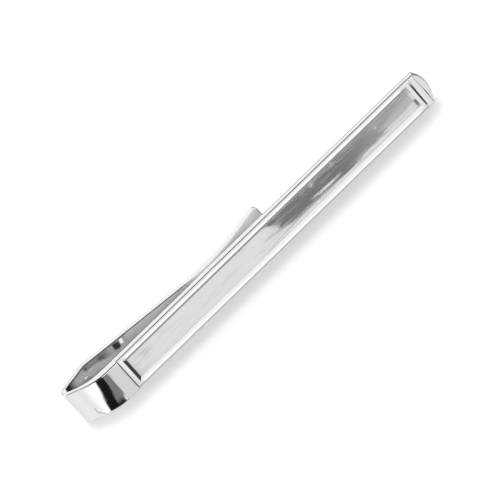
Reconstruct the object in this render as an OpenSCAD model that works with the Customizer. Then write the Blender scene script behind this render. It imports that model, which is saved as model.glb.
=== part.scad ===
// A slide-on tie bar. One silver strip is folded back on itself: the front carries a bright
// mitred border round a brushed panel, and the thinner spring leg behind it holds the tie.
// It stands on the strip's lower long edge. X runs from the fold to the free end, the front
// faces -Y, Z is the strip's width, and the middle of the outer box is at X = 0, Y = 0.

/* [Strip] */
// Length over all, from the fold to the rolled end
bar_l = 55; // [48:0.5:64]
// Width of the strip, which is the height that it stands
strip_w = 6; // [5:0.1:8]
// Thickness where the front runs into the fold
bend_t = 0.94; // [0.86:0.01:1]
// Thickness at the rolled end
free_t = 0.68; // [0.64:0.01:0.76]
// Thickness of the spring leg
leg_t = 0.58; // [0.5:0.01:0.7]
// How far the bordered front and the tab are pressed below the fold's face
press_d = 0.11; // [0.09:0.01:0.15]

/* [Fold] */
// Radius of the front's slow turn into the fold, on the middle of the strip
bend_r = 8; // [7:0.1:9]
// Angle of that slow turn
bend_angle = 27; // [24:1:30]
// Straight run from the slow turn to the nose
bend_run = 1.15; // [0.8:0.05:1.6]
// Thickness at the nose, where the metal gathers
nose_t = 0.86; // [0.7:0.01:0.95]
// Radius inside the nose
nose_r = 0.03; // [0.02:0.01:0.1]
// Slope of the back as it leaves the nose
rise_angle = 14; // [11:1:17]
// Straight run of the back from the nose to the crown
rise_run = 2.8; // [2.2:0.1:3.4]
// Radius of the crown, on the middle of the strip
crown_r = 2.3; // [1.5:0.1:4]

/* [Spring leg] */
// Distance from the fold's outside to the place where the leg comes closest to the front
pinch_x = 22.2; // [19:0.1:25]
// Gap between the leg and the front there
pinch_gap = 0.13; // [0.1:0.01:0.3]
// Radius of the turn from the pinch to the flare, on the middle of the strip
flare_r = 23.5; // [16:0.5:26]
// Slope of the flared tip
flare_angle = 12.5; // [8:0.5:16]
// Distance from the fold's outside to the leg's tip
leg_l = 30.9; // [29:0.1:34]
// Radius of the tip's two corners
tip_corner_r = 0.7; // [0.4:0.05:1.2]

/* [Rolled end] */
// Plain flat between the border and the rolled end
tab_flat = 0.65; // [0.4:0.05:1.2]
// Depth of the end's curve across the strip's width
end_bow_d = 0.8; // [0.5:0.05:1.1]
// Length of the roll, from its crease to the rim
roll_l = 0.88; // [0.8:0.02:1]
// Slope of the roll's face
roll_angle = 30; // [24:1:34]
// Radius of the crease at the start of the roll
crease_r = 0.3; // [0.1:0.02:0.4]
// Radius of the rim
rim_r = 0.2; // [0.1:0.02:0.26]

/* [Border] */
// Distance from the fold's outside to the border
border_x = 6.9; // [6.6:0.1:9]
// Depth of the seat that holds the border and the panel
seat_d = 0.22; // [0.16:0.01:0.26]
// How far the border's flat stands above the tab's face
border_rise = 0.02; // [0.01:0.01:0.08]
// Width of the border's outer slope
outer_slope_w = 0.3; // [0.2:0.02:0.4]
// Width of the border's flat
rail_flat_w = 0.43; // [0.3:0.01:0.6]
// Width of the border's inner slope
inner_slope_w = 0.42; // [0.3:0.02:0.5]

/* [Panel] */
// Thickness of the panel, which is level with the foot of the border's slopes
panel_t = 0.12; // [0.1:0.01:0.14]
// Clearance between the panel and the border
panel_gap = 0.02; // [0.01:0.01:0.05]

/* [Hidden] */

// Steps in each arc of the strip's edge view
arc_steps = 24;
// Facets of a full round
$fn = 96;
// How far a cutting shape runs past what it cuts
overrun = 1;

// A place on the strip's middle line is [x, y, heading, thickness]. The strip is followed from
// the front, where it heads towards -X, round the nose and back along the leg towards +X.
// The unit vector to the right of a heading
function right_of(h) = [sin(h), -cos(h)];
function ahead(h) = [cos(h), sin(h)];
// Places round an arc about c. The radius is positive where the strip turns to the right, and
// swell is what the thickness gains in the middle of the arc.
half_turn = 180;
function arc(c, r, h0, h1, t0, t1, swell = 0) = [
    for (k = [0:arc_steps])
        let (part_share = k / arc_steps, h = h0 + (h1 - h0) * part_share, p = c - r * right_of(h))
        [p.x, p.y, h, t0 + (t1 - t0) * part_share + swell * sin(half_turn * part_share)]
];
// One face of the strip: side is 1 for the right one and -1 for the left one
function face(places, side) = [
    for (s = places) [s.x, s.y] + side * s[3] / 2 * right_of(s[2])
];
function reversed(list) = [for (k = [len(list) - 1:-1:0]) list[k]];
function outline(places) = concat(face(places, 1), reversed(face(places, -1)));

// The fold's middle line, from its start at [0, 0], where it heads towards -X. The slow turn
// thins the strip to the leg's thickness, and the nose gathers it again.
start_heading = 180;
nose_start_h = start_heading - bend_angle;
nose_mid_r = nose_r + nose_t / 2;
bend_c0 = [0, bend_r];
bend_end0 = bend_c0 - bend_r * right_of(nose_start_h);
nose_c0 = bend_end0 + bend_run * ahead(nose_start_h) + nose_mid_r * right_of(nose_start_h);
nose_end0 = nose_c0 - nose_mid_r * right_of(rise_angle);
crown_c0 = nose_end0 + rise_run * ahead(rise_angle) + crown_r * right_of(rise_angle);

// Depth from the fold's face to the crown's outside, and where the fold starts
depth = bend_t / 2 + crown_c0.y + crown_r + leg_t / 2;
x_lo = -bar_l / 2;
x_hi = bar_l / 2;
front_y = -depth / 2;
tab_y = front_y + press_d;
fold_x = x_lo + nose_mid_r + nose_t / 2 - nose_c0.x;
fold_start = [fold_x, front_y + bend_t / 2];
bend_c = fold_start + bend_c0;
nose_c = fold_start + nose_c0;
crown_c = fold_start + crown_c0;

// The back of the front thins evenly from the fold to the rolled end
function back_y(x) =
    front_y + bend_t + (press_d + free_t - bend_t) * (x - fold_x) / (x_hi - fold_x);

// The leg runs straight from the crown to the flare's arc, touching both
pinch_place = x_lo + pinch_x;
flare_c = [pinch_place, back_y(pinch_place) + pinch_gap + leg_t / 2 + flare_r];
crown_to_flare = flare_c - crown_c;
leg_h = atan2(crown_to_flare.y, crown_to_flare.x)
        - asin((flare_r + crown_r) / norm(crown_to_flare));
flare_end = flare_c + flare_r * right_of(flare_angle);
tip_x = x_lo + leg_l;
tip_run = (tip_x + overrun - flare_end.x) / cos(flare_angle);
tip_end = flare_end + tip_run * ahead(flare_angle);

bend_places = concat(
    arc(bend_c, bend_r, start_heading, nose_start_h, bend_t, leg_t),
    arc(nose_c, nose_mid_r, nose_start_h, rise_angle, leg_t, leg_t, nose_t - leg_t),
    arc(crown_c, crown_r, rise_angle, leg_h, leg_t, leg_t));
leg_start = crown_c - crown_r * right_of(leg_h);
leg_places = concat(
    [[leg_start.x, leg_start.y, leg_h, leg_t]],
    arc(flare_c, -flare_r, leg_h, flare_angle, leg_t, leg_t),
    [[tip_end.x, tip_end.y, flare_angle, leg_t]]);

// The border's seat, and the border's rails in it
border_lo = x_lo + border_x;
border_hi = x_hi - roll_l - tab_flat;
border_l = border_hi - border_lo;
seat_y = tab_y + seat_d;
rail_w = outer_slope_w + rail_flat_w + inner_slope_w;
rail_h = seat_d + border_rise;

// The rolled end, seen on edge: crease, sloping face and rim
crease_x = x_hi - roll_l;
crease_end = [crease_x + crease_r * sin(roll_angle), tab_y + crease_r * (1 - cos(roll_angle))];
rim_start_x = x_hi - rim_r * (1 - sin(roll_angle));
rim_start_y = crease_end.y + (rim_start_x - crease_end.x) * tan(roll_angle);
rim_c = [x_hi - rim_r, rim_start_y + rim_r * cos(roll_angle)];
rim_turn = 90;
crease_points = [
    for (k = [0:arc_steps]) let (a = roll_angle * k / arc_steps)
        [crease_x + crease_r * sin(a), tab_y + crease_r * (1 - cos(a))]
];
rim_points = [
    for (k = [0:arc_steps]) let (a = roll_angle + (rim_turn - roll_angle) * k / arc_steps)
        rim_c + rim_r * [sin(a), -cos(a)]
];
end_r = (strip_w * strip_w / 4 + end_bow_d * end_bow_d) / (2 * end_bow_d);

// A solid that has the edge view drawn, over the strip's whole width
module across_strip(points) {
    linear_extrude(strip_w) polygon(points);
}

// A solid that has the front view drawn, x along the bar and y up the strip, through everything
module through_front() {
    translate([0, depth, 0]) rotate([90, 0, 0]) linear_extrude(2 * depth) children();
}

// The front of the strip: its seat, the plain tab and the rolled end with its curved rim
module front_bar() {
    edge_view = concat(
        [[fold_x, front_y], [border_lo, front_y], [border_lo, seat_y], [border_hi, seat_y],
         [border_hi, tab_y]],
        crease_points,
        rim_points,
        [[x_hi, back_y(x_hi)], [fold_x, back_y(fold_x)]]);
    color("silver") intersection() {
        across_strip(edge_view);
        through_front() union() {
            translate([fold_x, 0]) square([x_hi - end_r - fold_x, strip_w]);
            translate([x_hi - end_r, strip_w / 2]) circle(end_r);
        }
    }
}

// The brushed field inside the border
module panel() {
    inset = rail_w + panel_gap;
    color("darkgray")
        translate([border_lo + inset, seat_y - panel_t, inset])
        cube([border_l - 2 * inset, panel_t, strip_w - 2 * inset]);
}

// One side of the border, mitred at both ends: x along it, y from its outer edge, z its height
module rail(l) {
    section = [[0, 0], [rail_w, 0], [rail_w, panel_t], [rail_w - inner_slope_w, rail_h],
               [outer_slope_w, rail_h], [0, panel_t]];
    intersection() {
        rotate([90, 0, 90]) linear_extrude(l) polygon(section);
        linear_extrude(rail_h) polygon([[0, 0], [l, 0], [l - rail_w, rail_w], [rail_w, rail_w]]);
    }
}

module lower_rail() {
    color("lightgray") translate([border_lo, seat_y, 0]) rotate([90, 0, 0]) rail(border_l);
}

module upper_rail() {
    color("lightgray")
        translate([border_hi, seat_y, strip_w]) rotate([90, 180, 0]) rail(border_l);
}

module fold_end_rail() {
    color("gainsboro")
        translate([border_lo, seat_y, strip_w]) rotate([0, 90, 0]) rotate([90, 0, 0]) rail(strip_w);
}

module free_end_rail() {
    color("gainsboro")
        translate([border_hi, seat_y, 0]) rotate([0, -90, 0]) rotate([90, 0, 0]) rail(strip_w);
}

// The fold: slow turn, nose and crown, where the spring bends
module spring_bend() {
    color("gray") across_strip(outline(bend_places));
}

// The leg behind the front: straight to the pinch, then flared, with its two corners rounded
module spring_leg() {
    leg_lo = leg_start.x - overrun;
    color("lightsteelblue") intersection() {
        across_strip(outline(leg_places));
        through_front() union() {
            translate([leg_lo, 0]) square([tip_x - tip_corner_r - leg_lo, strip_w]);
            translate([leg_lo, tip_corner_r])
                square([tip_x - leg_lo, strip_w - 2 * tip_corner_r]);
            for (z = [tip_corner_r, strip_w - tip_corner_r])
                translate([tip_x - tip_corner_r, z]) circle(tip_corner_r);
        }
    }
}

front_bar();
panel();
upper_rail();
lower_rail();
fold_end_rail();
free_end_rail();
spring_bend();
spring_leg();
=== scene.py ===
"""The looks of a slide-on tie bar: one polished silver strip folded back on itself, with a
mitred border round a brushed panel. Lengths are in millimetres until a mesh is made."""
import math

import bpy
import numpy as np
from mathutils import Matrix, Vector


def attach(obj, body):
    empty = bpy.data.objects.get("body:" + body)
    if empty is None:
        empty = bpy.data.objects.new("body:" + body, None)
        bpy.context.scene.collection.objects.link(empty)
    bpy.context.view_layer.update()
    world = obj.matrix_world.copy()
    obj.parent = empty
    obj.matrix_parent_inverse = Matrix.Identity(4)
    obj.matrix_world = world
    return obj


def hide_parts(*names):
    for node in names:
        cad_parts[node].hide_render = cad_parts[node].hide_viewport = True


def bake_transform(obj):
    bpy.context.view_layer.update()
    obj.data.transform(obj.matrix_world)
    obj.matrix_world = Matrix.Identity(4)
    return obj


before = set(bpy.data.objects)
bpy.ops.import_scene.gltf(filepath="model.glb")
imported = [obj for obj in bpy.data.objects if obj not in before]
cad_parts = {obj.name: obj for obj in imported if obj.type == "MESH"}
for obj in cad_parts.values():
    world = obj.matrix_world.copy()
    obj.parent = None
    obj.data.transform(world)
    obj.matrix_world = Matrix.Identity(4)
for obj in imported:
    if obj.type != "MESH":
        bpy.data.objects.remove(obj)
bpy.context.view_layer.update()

# Metres in a millimetre
MM = 0.001

# The strip: length over all, width, thickness at the fold, the rolled end and the leg, and
# how far the tab lies below the fold's face
BAR_L, STRIP_W = 55.0, 6.0
BEND_T, FREE_T, LEG_T, PRESS_D = 0.94, 0.68, 0.58, 0.11
# The fold: the slow turn and the straight after it, the nose, and the rise to the crown
BEND_R, BEND_ANGLE, BEND_RUN = 8.0, 27.0, 1.15
NOSE_T, NOSE_R = 0.86, 0.03
RISE_ANGLE, RISE_RUN, CROWN_R = 14.0, 2.8, 2.3
# The leg: where it comes closest to the front and how close, its flare, length and corners
PINCH_X, PINCH_GAP, FLARE_R, FLARE_ANGLE = 22.2, 0.13, 23.5, 12.5
LEG_L, TIP_CORNER_R = 30.9, 0.7
# The tab, and the rolled end: its curve across the width, length, slope, crease and rim
TAB_FLAT = 0.65
END_BOW, ROLL_L, ROLL_ANGLE, CREASE_R, RIM_R = 0.8, 0.88, 30.0, 0.45, 0.2
# The border: where it starts, its seat, its height over the tab, and its slopes and flat
BORDER_X, SEAT_D, BORDER_RISE = 6.9, 0.22, 0.02
OUTER_W, FLAT_W, INNER_W = 0.3, 0.43, 0.42
# The panel: thickness, and the gap round it
PANEL_T, PANEL_GAP = 0.12, 0.006

# Softening of the edges, which the solids leave sharp: the strip's, those at the back of the
# front and of the leg, the leg's end, the border's and the panel's
EDGE_R, BACK_EDGE_R, LEG_BACK_EDGE_R, TIP_EDGE_R = 0.18, 0.22, 0.03, 0.12
RAIL_EDGE_R, PANEL_EDGE_R = 0.05, 0.012
# Steps round a softened edge
EDGE_STEPS = 6
# How far inside a flat's edge a row of points holds its shading, and the same at a seam
HOLD, SEAM_HOLD = 0.02, 0.004


# The strip's edge view

def right_of(h):
    """Unit vectors to the right of the headings h, in degrees."""
    h = np.radians(h)
    return np.stack([np.sin(h), -np.cos(h)], -1)


def ahead(h):
    """Unit vectors along the headings h, in degrees."""
    h = np.radians(h)
    return np.stack([np.cos(h), np.sin(h)], -1)


def arc(centre, radius, h0, h1, thick, steps):
    """Places [x, y, heading, thickness] round an arc: centre - radius * right(heading). The
    radius is positive where the strip turns to the right; thick is a function of the share."""
    share = np.linspace(0, 1, steps + 1)
    h = h0 + (h1 - h0) * share
    return np.column_stack([centre - radius * right_of(h), h, thick(share)])


def run(start, end, steps):
    """Places between two places on a straight run, both left out."""
    share = np.linspace(0, 1, steps + 1)[1:-1, None]
    return np.asarray(start) * (1 - share) + np.asarray(end) * share


def held(places):
    """The places with one more just inside either end, so that the end's wall leaves the
    shading of the faces alone."""
    def near(a, b):
        return a + (b - a) * SEAM_HOLD / np.hypot(*(b - a)[:2])
    return np.concatenate([places[:1], [near(places[0], places[1])], places[1:-1],
                           [near(places[-1], places[-2])], places[-1:]])


# The centres of the fold's turns, first as seen from its start and then in their places
nose_h = 180 - BEND_ANGLE
nose_mid = NOSE_R + NOSE_T / 2
bend_c = np.array([0, BEND_R])
nose_c = (bend_c - BEND_R * right_of(nose_h) + BEND_RUN * ahead(nose_h)
          + nose_mid * right_of(nose_h))
crown_c = (nose_c - nose_mid * right_of(RISE_ANGLE) + RISE_RUN * ahead(RISE_ANGLE)
           + CROWN_R * right_of(RISE_ANGLE))
depth = BEND_T / 2 + crown_c[1] + CROWN_R + LEG_T / 2
x_lo, x_hi = -BAR_L / 2, BAR_L / 2
front_y = -depth / 2
fold_x = x_lo + nose_mid + NOSE_T / 2 - nose_c[0]
bend_c, nose_c, crown_c = (c + [fold_x, front_y + BEND_T / 2] for c in (bend_c, nose_c, crown_c))

# The faces of the tab, the seat and the panel, and the ends of the border
tab_y = front_y + PRESS_D
seat_y = tab_y + SEAT_D
foot_y = seat_y - PANEL_T
border_lo, border_hi = x_lo + BORDER_X, x_hi - ROLL_L - TAB_FLAT
border_l = border_hi - border_lo
rail_w, rail_h = OUTER_W + FLAT_W + INNER_W, SEAT_D + BORDER_RISE


def back_y(x):
    """The back of the front, which thins evenly from the fold to the rolled end."""
    return front_y + BEND_T + (PRESS_D + FREE_T - BEND_T) * (x - fold_x) / (x_hi - fold_x)


# The leg runs straight from the crown to the flare's arc and touches both
pinch = x_lo + PINCH_X
flare_c = np.array([pinch, back_y(pinch) + PINCH_GAP + LEG_T / 2 + FLARE_R])
gap = flare_c - crown_c
leg_h = math.degrees(math.atan2(gap[1], gap[0]) - math.asin((FLARE_R + CROWN_R) / np.hypot(*gap)))
tip_x = x_lo + LEG_L

slow_turn = arc(bend_c, BEND_R, 180, nose_h,
                lambda share: BEND_T + (LEG_T - BEND_T) * share, steps=48)
nose = arc(nose_c, nose_mid, nose_h, RISE_ANGLE,
           lambda share: LEG_T + (NOSE_T - LEG_T) * np.sin(np.pi * share) ** 2, steps=96)
crown = arc(crown_c, CROWN_R, RISE_ANGLE, leg_h, lambda share: LEG_T + 0 * share, steps=40)
flare = arc(flare_c, -FLARE_R, leg_h, FLARE_ANGLE, lambda share: LEG_T + 0 * share, steps=48)
tip_mid = flare[-1, :2] + (tip_x - flare[-1, 0]) / ahead(FLARE_ANGLE)[0] * ahead(FLARE_ANGLE)
tip = [*tip_mid, FLARE_ANGLE, LEG_T]


# Meshes from grids

def shown(name, data):
    """An object at the origin for a mesh, a lamp or a camera."""
    obj = bpy.data.objects.new(name, data)
    bpy.context.scene.collection.objects.link(obj)
    return obj


def piece(name, points, faces, *materials, flat=(), second=0):
    """A mesh object at the origin from points in millimetres. Faces listed in flat are shaded
    flat; the last faces, second of them, have the second material."""
    mesh = bpy.data.meshes.new(name)
    mesh.from_pydata((np.asarray(points) * MM).tolist(), [], [list(f) for f in faces])
    smooth = np.ones(len(faces), bool)
    smooth[list(flat)] = False
    mesh.polygons.foreach_set("use_smooth", smooth)
    for material in materials:
        mesh.materials.append(material)
    which = np.zeros(len(faces), np.int32)
    which[len(faces) - second:] = 1
    mesh.polygons.foreach_set("material_index", which)
    mesh.update()
    return shown(name, mesh)


def grid_faces(rows, cols, first=0, flip=False):
    """Quads of a grid of rows by cols points, numbered row by row from first."""
    i, j = np.meshgrid(np.arange(rows - 1), np.arange(cols - 1), indexing="ij")
    a = (first + i * cols + j).ravel()
    quads = np.stack([a, a + 1, a + cols + 1, a + cols], 1)
    return quads[:, ::-1] if flip else quads


def plate(name, near, far, *materials):
    """A closed plate from two grids with the same rows and columns, near and far, that are
    joined along their four borders by walls, each held just inside both of its edges. The
    far grid takes the second material where there is one."""
    rows, cols = near.shape[:2]
    n = rows * cols
    index = np.arange(n).reshape(rows, cols)
    ring = np.concatenate([index[0, :-1], index[:-1, -1], index[-1, :0:-1], index[:0:-1, 0]])
    near, far = near.reshape(-1, 3), far.reshape(-1, 3)
    through = far[ring] - near[ring]
    inward = through / np.linalg.norm(through, axis=1)[:, None] * SEAM_HOLD
    points = np.concatenate([near, far, near[ring] + inward, far[ring] - inward])
    k = np.arange(len(ring))
    rings = [ring, 2 * n + k, 2 * n + len(ring) + k, n + ring]
    walls = [np.stack([np.roll(a, -1), np.roll(b, -1), b, a], 1) for a, b in zip(rings, rings[1:])]
    back = grid_faces(rows, cols, first=n)
    faces = np.concatenate([grid_faces(rows, cols, flip=True), *walls, back])
    second = len(back) if len(materials) > 1 else 0
    return piece(name, points, faces.tolist(), *materials, second=second)


def edge_offsets(radius, width, middle=5):
    """Places across a strip of that width, close together at both rounded edges and held
    just inside them, so that the flat between them is shaded flat."""
    turn = np.radians(np.linspace(0, 90, EDGE_STEPS + 1))
    near = np.concatenate([radius * (1 - np.cos(turn)), [radius + HOLD, radius + 4 * HOLD]])
    inside = np.linspace(near[-1], width - near[-1], middle + 2)[1:-1]
    return np.concatenate([near, inside, width - near[::-1]])


def round_drop(distance, radius):
    """How far a rounded edge falls back: radius - sqrt(radius^2 - (radius - distance)^2)."""
    inward = np.clip(radius - distance, 0, radius)
    return radius - np.sqrt(np.maximum(radius * radius - inward * inward, 0))


def fillet(corners, radii, steps=5):
    """A polyline with its corners rounded: each corner becomes an arc that touches both sides,
    with a holding point on either side of it."""
    corners = np.asarray(corners, float)
    out = [corners[0]]
    for p, c, q, r in zip(corners, corners[1:], corners[2:], radii):
        u, v = (p - c) / np.hypot(*(p - c)), (q - c) / np.hypot(*(q - c))
        half = math.acos(np.clip(u @ v, -1, 1)) / 2
        cut = r / math.tan(half)
        centre = c + (u + v) / np.hypot(*(u + v)) * r / math.sin(half)
        a, b = c + u * cut - centre, c + v * cut - centre
        turn = math.atan2(a[0] * b[1] - a[1] * b[0], a @ b) * np.linspace(0, 1, steps + 1)
        arc_points = centre + np.stack([a[0] * np.cos(turn) - a[1] * np.sin(turn),
                                        a[0] * np.sin(turn) + a[1] * np.cos(turn)], 1)
        out += [c + u * (cut + HOLD), *arc_points, c + v * (cut + HOLD)]
    return np.array(out + [corners[-1]])


# Materials

class Value:
    """A node's output as a number that varies over the surface."""

    def __init__(self, tree, socket):
        self.tree, self.socket = tree, socket

    def _math(self, operation, *values):
        return self.tree.add("ShaderNodeMath", {"operation": operation}, *values)["Value"]

    def __add__(self, other):
        return self._math("ADD", self, other)

    def __sub__(self, other):
        return self._math("SUBTRACT", self, other)

    def __rsub__(self, other):
        return self._math("SUBTRACT", other, self)

    def __mul__(self, other):
        return self._math("MULTIPLY", self, other)

    __radd__, __rmul__ = __add__, __mul__

    def clip(self):
        """The value, held between 0 and 1."""
        return self._math("MINIMUM", self._math("MAXIMUM", self, 0.0), 1.0)

    def step(self, start, end):
        """0 before start, 1 after end, and smooth between them."""
        settings = {"interpolation_type": "SMOOTHSTEP"}
        return self.tree.add("ShaderNodeMapRange", settings, self, start, end)["Result"]

    def band(self, rise, fall):
        """1 between two pairs of places, 0 outside them, and smooth from one to the other of
        either pair."""
        return self.step(*rise) * (1 - self.step(*fall))


class Tree:
    """A node tree with one method that adds any node."""

    def __init__(self, owner):
        owner.use_nodes = True
        self.nodes, self.links = owner.node_tree.nodes, owner.node_tree.links
        self.nodes.clear()

    def add(self, kind, settings=None, *values, **named):
        """Adds a node: its settings first, then its inputs in order or by name. The result
        gives its outputs by name."""
        node = self.nodes.new(kind)
        for key, value in (settings or {}).items():
            setattr(node, key, value)
        slots = {s.name.replace(" ", "_"): s for s in node.inputs if s.enabled}
        inputs = [*zip(node.inputs, values), *((slots[key], v) for key, v in named.items())]
        for socket, value in inputs:
            if isinstance(value, Value):
                self.links.new(value.socket, socket)
            elif value is not None:
                socket.default_value = value
        return {s.name: Value(self, s) for s in node.outputs if s.enabled}


# The broad noise's scale, and how much it tints the metal beside the lines
BROAD_SCALE, BROAD_TINT = 420.0, 0.5
# The faint lines, which are wider, shorter and lower than the main ones: their scales across
# and along and their height, each times that of the main lines
FAINT_ACROSS, FAINT_ALONG, FAINT_HEIGHT = 0.3, 2.0, 0.6
# In metres: the length over which the satin fades along X at its ends, the length over which
# its bright edges do, and the two distances from the strip's edge between which they fade
SATIN_FADE, EDGE_FADE, BRIGHT_EDGE = 0.00016, 0.003, (0.00012, 0.00028)
# Painted shade in the fold's point, a darkening of the metal's colour: the stretch along X
# over which it fades out, how far that wanders, in metres, and the share of the colour it takes
PAINTED_FOLD_SHADE, PAINTED_FOLD_SHADE_WANDER, PAINTED_FOLD_SHADE_DEPTH = (-0.0262, -0.025), 0.0006, 0.82
# The bright part's roughness and its share of the lines' height, and how far the satin is
# plain grey and not mirror
BRIGHT_ROUGH, BRIGHT_HEIGHT, SATIN_DIFFUSE = 0.05, 0.1, 0.65


def scratches(tree, place, across, along, seed=0.0):
    """Noise drawn out along X: fine lines that run along the bar, from -0.5 to 0.5."""
    stretched = tree.add("ShaderNodeMapping", {}, Vector=place,
                         Location=(seed, seed, seed), Scale=(along, across, across))["Vector"]
    noise = tree.add("ShaderNodeTexNoise", {}, Vector=stretched, Scale=1.0, Detail=4.0,
                     Roughness=0.6)
    return noise["Fac"] - 0.5


def satin_share(x, z, start, edge_end, end):
    """1 where the metal is satin and 0 where it is bright. It is satin from start to end
    along X, but bright along both edges of the strip before edge_end."""
    near, far = BRIGHT_EDGE
    width = STRIP_W * MM
    edge = 1 - z.band((near, far), (width - far, width - near))
    edge = edge * (1 - x.step(edge_end - EDGE_FADE, edge_end))
    return x.band((start, start + SATIN_FADE), (end, end + SATIN_FADE)) * (1 - edge)


def silver(name, base, roughness, spread, wear, line_wear, scratch, distance, across, along,
           satin=None, **shader):
    """Solid silver with lines left by polishing. The base colour varies by spread, and the
    roughness by wear with broad noise and by line_wear with the lines, which stand distance
    metres high by scratch. Where satin gives three places along X, in metres, the metal that
    the polishing wheel can't reach is satin, as satin_share says, and painted shade darkens
    the metal's colour in the fold's point."""
    material = bpy.data.materials.new(name)
    tree = Tree(material)
    place = tree.add("ShaderNodeTexCoord")["Object"]
    broad = tree.add("ShaderNodeTexNoise", {}, Vector=place, Scale=BROAD_SCALE,
                     Detail=3.0)["Fac"] - 0.5
    lines = scratches(tree, place, across, along)
    faint = scratches(tree, place, across * FAINT_ACROSS, along * FAINT_ALONG, seed=3.0)
    ridges = lines + faint * FAINT_HEIGHT
    tint = (base + (broad * BROAD_TINT + lines) * spread).clip()
    worn = (roughness + broad * wear + lines * line_wear).clip()
    metal = 1.0
    if satin:
        at = tree.add("ShaderNodeSeparateXYZ", {}, place)
        dull = satin_share(at["X"], at["Z"], *satin)
        # Painted shade: the metal's colour is darkened in the fold's point, where shade falls
        fold_shade = 1 - (at["X"] + broad * PAINTED_FOLD_SHADE_WANDER).step(*PAINTED_FOLD_SHADE)
        tint = tint * (1 - fold_shade * PAINTED_FOLD_SHADE_DEPTH)
        worn = BRIGHT_ROUGH + (worn - BRIGHT_ROUGH) * dull
        metal = 1 - dull * SATIN_DIFFUSE
        ridges = ridges * (BRIGHT_HEIGHT + dull * (1 - BRIGHT_HEIGHT))
    colour = tree.add("ShaderNodeCombineColor", {}, tint, tint, tint)["Color"]
    normal = tree.add("ShaderNodeBump", {}, Strength=scratch, Distance=distance,
                      Height=ridges)["Normal"]
    surface = tree.add("ShaderNodeBsdfPrincipled", {}, Base_Color=colour, Metallic=metal,
                       Roughness=worn, Normal=normal, **shader)["BSDF"]
    tree.add("ShaderNodeOutputMaterial", {}, surface)
    return material


polished = silver("polished silver", base=0.95, roughness=0.045, spread=0.012, wear=0.03,
                  line_wear=0.03, scratch=0.25, distance=2e-6, across=16000.0, along=900.0)
brushed = silver("brushed silver", base=0.7, roughness=0.13, spread=0.1, wear=0.4,
                 line_wear=1.15, scratch=0.6, distance=5e-6, across=5200.0, along=260.0,
                 Anisotropic=0.5)
inner = silver("inner silver", base=0.9, roughness=0.36, spread=0.12, wear=0.1,
               line_wear=0.1, scratch=0.6, distance=4e-6, across=9000.0, along=400.0,
               satin=(-0.0178, -0.0065, 0.0032))


# The strip

# Rows round the leg's end, how far the row before them keeps away, and the stretch along X
# over which the back edge of the leg turns sharper
TIP_ROWS, TIP_CLEAR = 13, 0.05
BACK_EDGE_X = (-25, -21)


def strip_faces(places, width_lo, width_hi, *radii):
    """Two grids of points, the strip's right and left faces. A row is a place on the middle
    line, from which each face stands off by half the thickness, less the fall of its rounded
    edge; a column is a place across the width, from width_lo to width_hi of its row. The
    columns of a rounded edge and the two that hold it stay at their distance from it."""
    across = edge_offsets(EDGE_R, STRIP_W)
    rounded = EDGE_STEPS + 3
    z = width_lo[:, None] + (width_hi - width_lo)[:, None] * (across / STRIP_W)[None, :]
    z[:, :rounded] = width_lo[:, None] + across[:rounded]
    z[:, -rounded:] = width_hi[:, None] - across[:rounded][::-1]
    off = right_of(places[:, 2])
    grids = []
    for side, radius in zip((1, -1), radii):
        fall = round_drop(np.minimum(across, STRIP_W - across)[None, :], radius)
        reach = side * (places[:, 3:4] / 2 - fall + 0 * z)
        xy = places[:, None, :2] + reach[..., None] * off[:, None, :]
        grids.append(np.concatenate([xy, z[..., None]], 2))
    return grids


# The fold, from the front's flat round the nose to the start of the straight rise
fold_places = held(np.concatenate([slow_turn, run(slow_turn[-1], nose[0], steps=4), nose]))
fold_lo = np.zeros(len(fold_places))
right, left = strip_faces(fold_places, fold_lo, fold_lo + STRIP_W, EDGE_R, EDGE_R)
fold = plate("fold", left, right, polished, inner)
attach(fold, "front")
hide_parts("spring_bend")

# The leg, from the rise over the crown and down to the pinch, then out to its tip, where
# its corners are rounded by r - r cos(a) across and r - r sin(a) along, and its edge too
leg_places = np.concatenate([nose[-1:], run(nose[-1], crown[0], steps=8), crown,
                             run(crown[-1], flare[0], steps=24), flare,
                             run(flare[-1], tip, steps=10)])
tip_turn = np.radians(np.linspace(0, 90, TIP_ROWS))
to_tip = TIP_CORNER_R * (1 - np.sin(tip_turn))
narrow = TIP_CORNER_R * (1 - np.cos(tip_turn))
tip_rows = np.array([tip] * TIP_ROWS)
tip_rows[:, :2] = tip_mid - to_tip[:, None] * ahead(FLARE_ANGLE)
leg_places = held(leg_places[leg_places[:, 0] < tip_rows[0, 0] - TIP_CLEAR])
tip_rows[:, 3] -= 2 * round_drop(to_tip, TIP_EDGE_R)
leg_lo = np.concatenate([np.zeros(len(leg_places)), narrow])
leg_places = np.concatenate([leg_places, tip_rows])
outer_edge = np.interp(leg_places[:, :1], BACK_EDGE_X, [EDGE_R, LEG_BACK_EDGE_R])
right, left = strip_faces(leg_places, leg_lo, STRIP_W - leg_lo, EDGE_R, outer_edge)
leg = plate("leg", left, right, polished, inner)
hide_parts("spring_leg")
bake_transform(leg)

# The front of the strip, with the seat for the border, the tab and the rolled end. The
# crease starts a lead before the roll and is widest at one height across the strip.
CREASE_LEAD, CREASE_Z, CREASE_SPREAD, CREASE_LEAST_SHARE = 0.1, 2.3, 0.9, 0.5
# Radii of the steps into the seat and out of it, and how far their walls lean
STEP_R, LIP_R, LEAN = 0.012, 0.04, 0.002
# Rows over the seat and round the rim, and the shares of the tab and the roll at their rows
SEAT_ROWS, RIM_ROWS = 12, 9
TAB_SHARES = (0.05, 0.3, 0.6, 0.8, 0.84, 0.88, 0.92, 0.96, 1)
ROLL_SHARES = (*np.linspace(0.03, 0.26, 9), 0.3, 0.5, 0.7, 0.9, 1)
# The least length of the roll and thickness of the rim, and how far the back of the rim's
# last two rows is drawn in
ROLL_LEAST, RIM_LEAST_T, RIM_DRAW = 0.2, 0.01, (0.02, 0.05)

end_r = (STRIP_W ** 2 / 4 + END_BOW ** 2) / (2 * END_BOW)
crease_x = x_hi - ROLL_L


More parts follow.
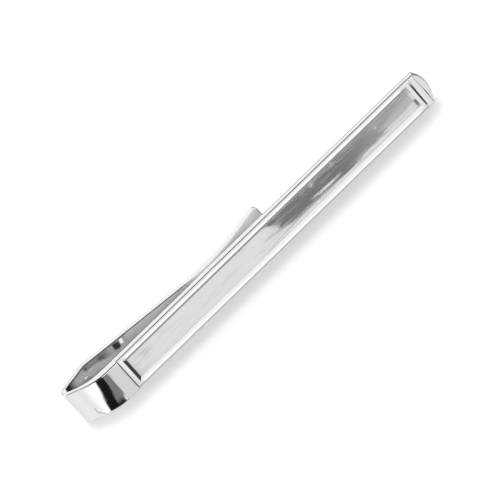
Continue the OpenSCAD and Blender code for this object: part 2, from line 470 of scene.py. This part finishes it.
def roll_fall(x, z):
    """How far the rolled end falls back: nothing before the crease, then the arc
    r - sqrt(r^2 - s^2) and, once it has turned enough, a straight slope. The arc is widest
    near the middle of the width, where r follows a bell curve of z."""
    bell = np.exp(-((z - CREASE_Z) / CREASE_SPREAD) ** 2)
    r = CREASE_R * (CREASE_LEAST_SHARE + (1 - CREASE_LEAST_SHARE) * bell)
    slope = math.tan(math.radians(ROLL_ANGLE))
    turned = r * math.sin(math.radians(ROLL_ANGLE))
    s = np.clip(x - crease_x + CREASE_LEAD, 0, None)
    bent = r - np.sqrt(r ** 2 - np.minimum(s, turned) ** 2)
    return bent + np.maximum(s - turned, 0) * slope


def front_rows():
    """The front's rows before the tab as [x, y, edge radius]: the fold's face, a rounded step
    into the seat, the seat and a rounded step up to the tab. The strip's edges turn sharp
    in the seat, where the border covers them."""
    quarter = np.radians(np.linspace(0, 90, EDGE_STEPS + 1))
    lo, hi, hidden_y = border_lo, border_hi, foot_y + HOLD
    rows = [[x, front_y, EDGE_R] for x in (fold_x, fold_x + SEAM_HOLD, lo - STEP_R - HOLD)]
    rows += [[lo - STEP_R + STEP_R * math.sin(q), front_y + STEP_R * (1 - math.cos(q)), EDGE_R]
             for q in quarter]
    rows += [[lo + LEAN, hidden_y, EDGE_R], [lo + 2 * LEAN, seat_y, 0]]
    rows += [[x, seat_y, 0] for x in (lo + HOLD, *np.linspace(lo, hi, SEAT_ROWS)[1:-1], hi - HOLD)]
    rows += [[hi - 2 * LEAN, seat_y, 0], [hi - LEAN, hidden_y, EDGE_R]]
    rows += [[hi + LIP_R * (1 - math.cos(q)), tab_y + LIP_R * (1 - math.sin(q)), EDGE_R]
             for q in quarter]
    return np.array(rows)


def front_strip():
    """The front as a plate. A row before the tab has one x. After it the rows spread over the
    tab to the crease and over the roll to the end's arc, x = centre + sqrt(r^2 - z^2), whose
    rim is rounded. A roll shorter than the least one, l, is l exp((length - l) / l) long, so
    that its rows never cross."""
    across = edge_offsets(EDGE_R, STRIP_W, middle=25)
    to_edge = np.minimum(across, STRIP_W - across)
    outline = x_hi - end_r + np.sqrt(end_r ** 2 - (across - STRIP_W / 2) ** 2)
    rows = front_rows()
    rows_x = np.repeat(rows[:, :1], len(across), 1)
    rows_y = np.stack([row[1] + round_drop(to_edge, row[2]) for row in rows])
    tab_x = rows[-1, 0] + (crease_x - rows[-1, 0]) * np.array(TAB_SHARES)[:, None]
    reach = outline - RIM_R - HOLD - crease_x
    short = ROLL_LEAST * np.exp((reach - ROLL_LEAST) / ROLL_LEAST)
    roll_x = crease_x + np.array(ROLL_SHARES)[:, None] * np.where(reach > ROLL_LEAST, reach, short)
    rim = RIM_R * (1 - np.sin(np.radians(np.linspace(0, 90, RIM_ROWS))))[:, None]
    rim_x = outline - rim * (outline - roll_x[-1]) / (RIM_R + HOLD)
    end_x = np.concatenate([tab_x + 0 * across, roll_x, rim_x])
    rim_fall = round_drop(np.maximum(outline - end_x, 0), RIM_R)
    end_fall = np.maximum(round_drop(to_edge, EDGE_R), rim_fall)
    end_y = tab_y + roll_fall(end_x, across) + end_fall
    x = np.concatenate([rows_x, end_x])
    z = np.broadcast_to(across, x.shape)
    back = back_y(x) - round_drop(to_edge, BACK_EDGE_R)
    y = np.minimum(np.concatenate([rows_y, end_y]), back - RIM_LEAST_T)
    back[-2:] -= np.array(RIM_DRAW)[:, None]
    return np.stack([x, y, z], 2), np.stack([x, back, z], 2)


near, far = front_strip()
front = plate("front_strip", near, far, polished, inner)
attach(front, "front")
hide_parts("front_bar")


# Border and panel

# Radii at the foot of a side's outer slope, along and across the bar, and of its inner slope
LONG_FOOT_R, END_FOOT_R, INNER_FOOT_R = 0.15, 0.02, 0.02
# The side by the fold: where its level edge, its slope and its step end, how far the slope
# falls, and the radii of its first corner and of the rest
LEVEL_END, SLOPE_END, STEP_END, SLOPE_D = 0.07, 0.21, 0.215, 0.052
LEVEL_EDGE_R, STEP_EDGE_R = 0.004, 0.01
# How steeply what stands above the flat sinks to it at a mitre
MITRE_SINK = 0.3
# Shares of a side's length at its rows
RAIL_SHARES = (0.05, *np.linspace(0, 1, 9)[1:-1], 0.95)


def sloped_section(foot_r):
    """A side's section as [distance from the outer edge, height above the seat]: wall, outer
    slope, flat and inner slope, with softened corners."""
    return fillet([[0, SEAM_HOLD], [0, PANEL_T], [OUTER_W, rail_h],
                   [OUTER_W + FLAT_W, rail_h], [rail_w, PANEL_T], [rail_w, 0]],
                  [foot_r, RAIL_EDGE_R, RAIL_EDGE_R, INNER_FOOT_R])


def stepped_section():
    """The section of the side by the fold: it starts level with the strip's face, which
    falls in a narrow slope and a step to the flat."""
    face_h = seat_y - front_y
    return fillet([[0, SEAM_HOLD], [0, face_h], [LEVEL_END, face_h],
                   [SLOPE_END, face_h - SLOPE_D], [STEP_END, rail_h],
                   [OUTER_W + FLAT_W, rail_h], [rail_w, PANEL_T], [rail_w, 0]],
                  [LEVEL_EDGE_R, STEP_EDGE_R, STEP_EDGE_R, STEP_EDGE_R, RAIL_EDGE_R,
                   INNER_FOOT_R])


def rail(name, length, place, section):
    """One side of the border: its section carried along the length and cut at 45 degrees at
    both ends, where what stands above the flat sinks to it."""
    section = np.concatenate([[[0, 0]], section])
    rows = []
    hold = SEAM_HOLD / length
    for share in [0, hold, *RAIL_SHARES, 1 - hold, 1]:
        along = section[:, 0] + (length - 2 * section[:, 0]) * share
        over = np.minimum(along, length - along) * MITRE_SINK
        height = np.minimum(section[:, 1], rail_h + over)
        rows.append(np.stack([along, section[:, 0], height], 1))
    points = np.array(rows)
    n, m = points.shape[:2]
    index = np.arange(n * m).reshape(n, m)
    under = np.stack([index[:-1, -1], index[:-1, 0], index[1:, 0], index[1:, -1]], 1)
    faces = grid_faces(n, m).tolist() + under.tolist()
    ends = [index[0, ::-1].tolist(), index[-1].tolist()]
    flat = range(len(faces), len(faces) + 2)
    obj = piece(name, points.reshape(-1, 3), faces + ends, polished, flat=flat)
    obj.data.transform(place)
    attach(obj, "front")
    return obj


def rail_place(origin, along, inward):
    """The turn that lays a rail: its length along one way, its width inward, its height
    towards the front, -Y."""
    a, b = Vector(along), Vector(inward)
    turn = Matrix((a, b, Vector((0, -1, 0)))).transposed().to_4x4()
    return Matrix.Translation(Vector(origin) * MM) @ turn


# Each side's length, the corner that it starts from, its way along, its way in, its section
long_section, end_section = sloped_section(LONG_FOOT_R), sloped_section(END_FOOT_R)
RAILS = {
    "lower_rail": (border_l, (border_lo, seat_y, 0), (1, 0, 0), (0, 0, 1), long_section),
    "upper_rail": (border_l, (border_hi, seat_y, STRIP_W), (-1, 0, 0), (0, 0, -1), long_section),
    "fold_end_rail": (STRIP_W, (border_lo, seat_y, STRIP_W), (0, 0, -1), (1, 0, 0),
                      stepped_section()),
    "free_end_rail": (STRIP_W, (border_hi, seat_y, 0), (0, 0, 1), (-1, 0, 0), end_section),
}
for name, (length, origin, along, inward, section) in RAILS.items():
    made = rail(name.replace("rail", "side"), length, rail_place(origin, along, inward), section)
    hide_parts(name)


def brushed_panel():
    """The panel as a plate with softened edges: front at the foot of the border's slopes."""
    inset = rail_w + PANEL_GAP
    x = border_lo + inset + edge_offsets(PANEL_EDGE_R, border_l - 2 * inset, middle=9)
    z = inset + edge_offsets(PANEL_EDGE_R, STRIP_W - 2 * inset, middle=3)
    x, z = np.meshgrid(x, z, indexing="ij")
    side = np.minimum(np.minimum(x - x.min(), x.max() - x), np.minimum(z - z.min(), z.max() - z))
    y = foot_y + round_drop(side, PANEL_EDGE_R)
    return np.stack([x, y, z], 2), np.stack([x, 0 * y + seat_y, z], 2)


near, far = brushed_panel()
panel = plate("brushed_panel", near, far, brushed)
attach(panel, "front")
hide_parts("panel")


# Floor and cards

# The camera's way
AZIMUTH, ELEVATION, ROLL = (math.radians(a) for a in (3.503, 47.35, 41.573))
# Half the floor's side
FLOOR = 600
# Heights of the cards far below the bar, close below it and inside the fold, the step
# between cards that overlap, where the upper one shows, and that of the smallest card
LOW, NEAR, INSIDE = -29.7, -1.5, -0.4
LAYER, SPECK_LAYER = 0.05, 0.02
# Greys of the panel's dark stretch, of its fading and of its end
DARK_GREY, FADED_GREY, END_GREY = 0.26, 0.46, 0.5


def card(name, corners, greys, middle=None):
    """A flat studio card that only reflections see. Corners are [x, y, z]; greys is one grey,
    or one for each corner, blended between them. A middle, a place and its grey, blends out
    to the corners."""
    n = len(corners)
    greys = np.broadcast_to(np.float32(greys), n)
    faces = [range(n)]
    if middle:
        corners, greys = [*corners, middle[0]], np.append(greys, np.float32(middle[1]))
        faces = [[k, (k + 1) % n, n] for k in range(n)]
    material = bpy.data.materials.new(name)
    tree = Tree(material)
    level = tree.add("ShaderNodeAttribute", {"attribute_name": "grey"})["Fac"]
    light = tree.add("ShaderNodeEmission", {}, None, level)["Emission"]
    tree.add("ShaderNodeOutputMaterial", {}, light)
    obj = piece(name, corners, faces, material)
    obj.data.attributes.new("grey", "FLOAT", "POINT").data.foreach_set("value", greys)
    obj.visible_camera = obj.visible_diffuse = obj.visible_shadow = False
    obj.visible_transmission = obj.visible_volume_scatter = False


def level_card(name, z, greys, *corners):
    """A card that lies level at height z, below the bar."""
    card(name, [(x, y, z) for x, y in corners], greys)


def box_corners(x0, x1, y0, y1):
    """The corners of a box on the level from x0 to x1 and from y0 to y1."""
    return (x0, y1), (x1, y1), (x1, y0), (x0, y0)


def panel_card(name, z, greys, *places):
    """A level card whose corners show in the panel at the places, millimetres along the bar
    and up the strip. The camera's way is turned back by the panel and goes down to the
    card: each millimetre down takes it cot(elevation) further, by sin(azimuth) along the
    bar and by cos(azimuth) away from it."""
    out = 1 / math.tan(ELEVATION)
    along, away = out * math.sin(AZIMUTH), out * math.cos(AZIMUTH)
    level_card(name, z, greys, *[(u + along * (v - NEAR), foot_y - away * (v - NEAR))
                                 for u, v in places])


def floor():
    """A white floor that takes the bar's shadow."""
    material = bpy.data.materials.new("pale floor")
    tree = Tree(material)
    surface = tree.add("ShaderNodeBsdfDiffuse", {}, (1.0, 1.0, 1.0, 1))["BSDF"]
    tree.add("ShaderNodeOutputMaterial", {}, surface)
    corners = [(-FLOOR, -FLOOR, 0), (FLOOR, -FLOOR, 0), (FLOOR, FLOOR, 0), (-FLOOR, FLOOR, 0)]
    obj = piece("floor", corners, [range(4)], material)
    obj.visible_glossy = False


floor()

# Cards below and in front of the bar, as its polished faces reflect them
level_card("card under", LOW - 6 * LAYER, 0.3, *box_corners(-22, 32, -16, 8))
level_card("card under the fold", LOW - 6 * LAYER, 0.02, *box_corners(-30, -22, -24, 27))
level_card("card at the tab", LOW, 0.8, *box_corners(26.9, 32, -36, -27))
level_card("card at the flat", LOW - 4 * LAYER, 0.68, *box_corners(-24.6, -18.7, -36, -27))
level_card("card at the border", LOW - 2 * LAYER, 0.76, (-18.75, -28.5), (-18.16, -28.5),
           (-17.8, -34.8), (-18.4, -34.8))

# The dark band on the fold, the grey one beside it, and the dark at the foot of the fold
level_card("band card", LOW, 0.008, (-36.2, -34), (-37.64, -31.08), (-38.48, -29.25),
           (-39.4, -27.78), (-40.65, -26.28), (-41.15, -24.84), (-41.3, -22.9), (-40.48, -20),
           (-38.9, -15), (-34.5, -15), (-34.2, -24), (-34.0, -26.57), (-33.18, -28.27),
           (-32.04, -29.73), (-30.82, -30.66), (-29.91, -31.62), (-29.47, -32.53),
           (-29.3, -33.43), (-28.5, -35.5))
level_card("band side card", LOW - 2 * LAYER, 0.2, (-29, -35.8), (-32, -31), (-37, -26),
           (-37, -15), (-26, -15), (-26, -26), (-25.4, -29.86), (-23.75, -30.51),
           (-21.65, -31.68), (-20.73, -33.22), (-20.5, -35.8))
level_card("fold foot card", LOW + LAYER, 0.01, (-37, -24.6), (-35.1, -27.0), (-32.6, -28.2),
           (-30.5, -28.85), (-28.3, -29.45), (-26.8, -29.4), (-25.5, -27), (-25.5, -15),
           (-37, -15))

# Light at the ends of the slope by the tab, where the border's corners turn it
level_card("upper corner card", LOW, 0.95, (51.2, -21.7), (52.4, -22.8), (49.0, -26.4),
           (47.8, -25.3))
level_card("lower corner card", LOW, 0.95, (48.0, -18.7), (46.7, -17.5), (43.3, -21.1),
           (44.6, -22.3))

# The dark on the end of the leg's tip, and the grey at the end of the border
level_card("tip end card", LOW, 0.06, (26, 8), (34, 8), (31, 16), (26, 24), (18, 30), (9, 31),
           (9, 27), (16, 24), (22, 17))
level_card("border end card", LOW, 0.12, (10.5, -28.4), (11.9, -28.4), (12.1, -26.9),
           (11.1, -26.9))

# The dark that the panel shows, from a third of its length on, and the gleams in it
panel_card("panel card", NEAR, DARK_GREY, (1.8, 5.15), (3.1, 4.2), (4.0, 3.2), (3.1, 2.55),
           (6.2, 1.85), (9.5, 1.85), (14.0, 1.65), (14.0, 5.15))
panel_card("panel fading card", NEAR, (DARK_GREY, DARK_GREY, FADED_GREY, FADED_GREY),
           (14.0, 5.15), (14.0, 1.65), (20.0, 2.1), (20.0, 5.15))
panel_card("panel end card", NEAR, (FADED_GREY, FADED_GREY, END_GREY, END_GREY),
           (20.0, 4.95), (20.0, 2.2), (24.9, 2.5), (24.9, 4.95))
panel_card("panel end gleam card", NEAR + LAYER, 0.68, (19.5, 3.0), (22.5, 3.5), (24.9, 3.6),
           (24.9, 2.4), (21.0, 2.15))
panel_card("panel streak card", NEAR, 0.34, (0.9, 3.0), (3.0, 2.9), (4.4, 2.6), (3.2, 2.55))
panel_card("panel gleam card", NEAR + LAYER, 1.5, (8.4, 2.62), (11.0, 2.5), (13.6, 2.2),
           (10.0, 2.3))
for x, z, half in ((9.7, 4.4, 0.32), (13.0, 4.35, 0.32), (19.55, 3.65, 0.2)):
    panel_card("panel speck card", NEAR + 2 * LAYER, 2.2, (x - half, z), (x, z + 0.7 * half),
               (x + half, z), (x, z - 0.7 * half))

# Inside the fold, darker towards its point and under its brow, with a patch, a gleam and a
# speck, and lighter along the leg
level_card("fold inside card", INSIDE - 2 * LAYER, 0.44, (-17.6, -1.5), (-22.5, -1.5),
           (-24.5, -1.2), (-26.0, -0.6), (-26.9, 0.0), (-26.9, 0.6), (-24.5, 1.8), (-17.6, 1.8))
level_card("fold mark card", INSIDE - 2 * LAYER, 0.4, (-27.55, -2.15), (-27.0, -1.7),
           (-25.8, -1.7), (-25.8, -1.57), (-26.95, -1.57), (-27.62, -2.05))
card("fold hollow card", [(x, y, INSIDE - LAYER) for x, y in (
    (-21.5, -0.7), (-21.1, 0.3), (-21.6, 0.9), (-22.4, 0.75), (-23.2, 0.95), (-24.0, 0.8),
    (-24.1, 0.2), (-23.4, -0.6), (-22.4, -0.9))], 0.44, ((-22.7, 0.2, INSIDE - LAYER), 0.08))
level_card("fold patch card", INSIDE, 0.04, (-21.12, -0.75), (-20.92, -0.5), (-20.8, -0.05),
           (-20.3, -0.05), (-19.98, -0.3), (-20.0, -0.6), (-20.2, -1.1), (-21.0, -1.1))
level_card("fold gleam card", INSIDE, 1.25, (-20.12, -1.4), (-20.12, -1.0), (-19.97, -0.66),
           (-19.6, -0.7), (-19.75, -1.4))
level_card("fold speck card", INSIDE + SPECK_LAYER, 2.0, (-21.81, 0.62), (-21.74, 0.7),
           (-21.7, 0.6), (-21.77, 0.54))
level_card("leg card", INSIDE, 0.66, (-17.6, -1.0), (-17.6, 0.95), (-12, 0.25), (-5.3, -0.6),
           (0, -0.3), (0, -1.0))
level_card("mouth card", INSIDE, 0.8, (0, -0.9), (0, -0.3), (3.4, 0.35), (8, 0.9), (8, -0.9))


# Room, light and camera

# The strength of the room's white, where 1 is white in the picture
WHITE = 1.06


def studio():
    """A white room. What glossy rays meet in it is darkened in stretches, each a product of
    smooth steps along the ray's way and of how dark it is."""
    world = bpy.data.worlds.new("studio")
    bpy.context.scene.world = world
    tree = Tree(world)
    path = tree.add("ShaderNodeLightPath")
    way = tree.add("ShaderNodeSeparateXYZ", {}, tree.add("ShaderNodeTexCoord")["Generated"])
    x, y, z = way["X"], way["Y"], way["Z"]
    left, front, down = 0 - x, 0 - y, 0 - z
    horizon = front.step(0.0, 0.5) * z.band((-0.45, -0.1), (0.04, 0.1)) * 0.26
    round_camera = (front.step(0.08, 0.22) * z.step(0.06, 0.18)
                    * (1 - left.step(0.4, 0.7) * 0.6) * 0.95)
    under_front = (front.step(0.5, 0.6) * z.step(-0.71, -0.68)
                   * (left - z * 0.07).step(0.18, 0.21)
                   * (1 - (left - z * 0.09).step(0.36, 0.39)) * 0.97)
    left_wall = left.step(0.44, 0.56) * down.step(-0.1, 0.1) * 0.22
    right_front_foot = (x.band((0.22, 0.3), (0.54, 0.6)) * down.step(0.3, 0.5)
                        * (1 - y.step(-0.25, -0.05)) * 0.95)
    right_wall = x.step(0.54, 0.6) * 0.28
    right_foot = (x.step(0.64, 0.7) * down.step(0.3, 0.5)
                  * (1 - down.step(0.53, 0.62) * 0.85) * 0.45)
    right_back_foot = x.step(0.2, 0.4) * y.step(-0.25, 0.0) * down.step(0.3, 0.5) * 0.4
    back_wall = y.step(0.2, 0.5) * 0.12
    back_foot = y.step(0.25, 0.6) * z.band((-0.8, -0.2), (0.0, 0.1)) * 0.5
    back_horizon = (y.step(0.7, 0.8) * z.band((0.0, 0.1), (0.5, 0.6))
                    * (1 - x.step(0.2, 0.4) * 0.8) * 0.95)
    left_back = left.step(0.15, 0.3) * y.step(0.2, 0.5) * z.step(0.2, 0.4) * 0.4
    over_fold = (x * -0.36 + y * 0.05 + z * 0.93).step(0.982, 0.988) * 0.95
    seen = (1 - horizon) * WHITE
    for dark in (round_camera, under_front, left_wall, right_front_foot, right_wall, right_foot,
                 right_back_foot, back_wall, back_foot, back_horizon, left_back, over_fold):
        seen = seen * (1 - dark)
    glossy, camera = path["Is Glossy Ray"], path["Is Camera Ray"]
    strength = camera + (1 - camera) * (glossy * seen + (1 - glossy) * WHITE)
    light = tree.add("ShaderNodeBackground", {}, (1, 1, 1, 1), strength)["Background"]
    tree.add("ShaderNodeOutputWorld", {}, light)


studio()

lamp = bpy.data.lights.new("key", "SUN")
lamp.energy = 0.6
lamp.angle = math.radians(15)
key = shown("key", lamp)
to_lamp = Vector((0.02, 0.344, 1.0))
key.rotation_euler = to_lamp.to_track_quat("Z", "Y").to_euler()
key.visible_glossy = False

# The camera's distance, the pixels in a millimetre and across the picture, the width of its
# film, and how far right of and above the origin it looks
AWAY, SCALE, PICTURE, FILM = 2400.0, 8.73, 500, 36
AIM_RIGHT, AIM_UP = -0.3987, 1.2643
look = Vector((math.sin(AZIMUTH) * math.cos(ELEVATION), math.cos(AZIMUTH) * math.cos(ELEVATION),
               -math.sin(ELEVATION)))
level_right = Vector((math.cos(AZIMUTH), -math.sin(AZIMUTH), 0))
level_up = level_right.cross(look)
right_way = level_right * math.cos(ROLL) - level_up * math.sin(ROLL)
up_way = level_right * math.sin(ROLL) + level_up * math.cos(ROLL)
camera = bpy.data.cameras.new("camera")
camera.sensor_width = FILM
camera.lens = FILM / 2 / (PICTURE / 2 / SCALE / AWAY)
camera.clip_end = 10
eye = shown("camera", camera)
target = level_right * AIM_RIGHT + level_up * AIM_UP
eye.matrix_world = (Matrix.Translation((target - look * AWAY) * MM)
                    @ Matrix((right_way, up_way, -look)).transposed().to_4x4())
bpy.context.scene.camera = eye
bpy.context.scene.view_settings.view_transform = "Standard"
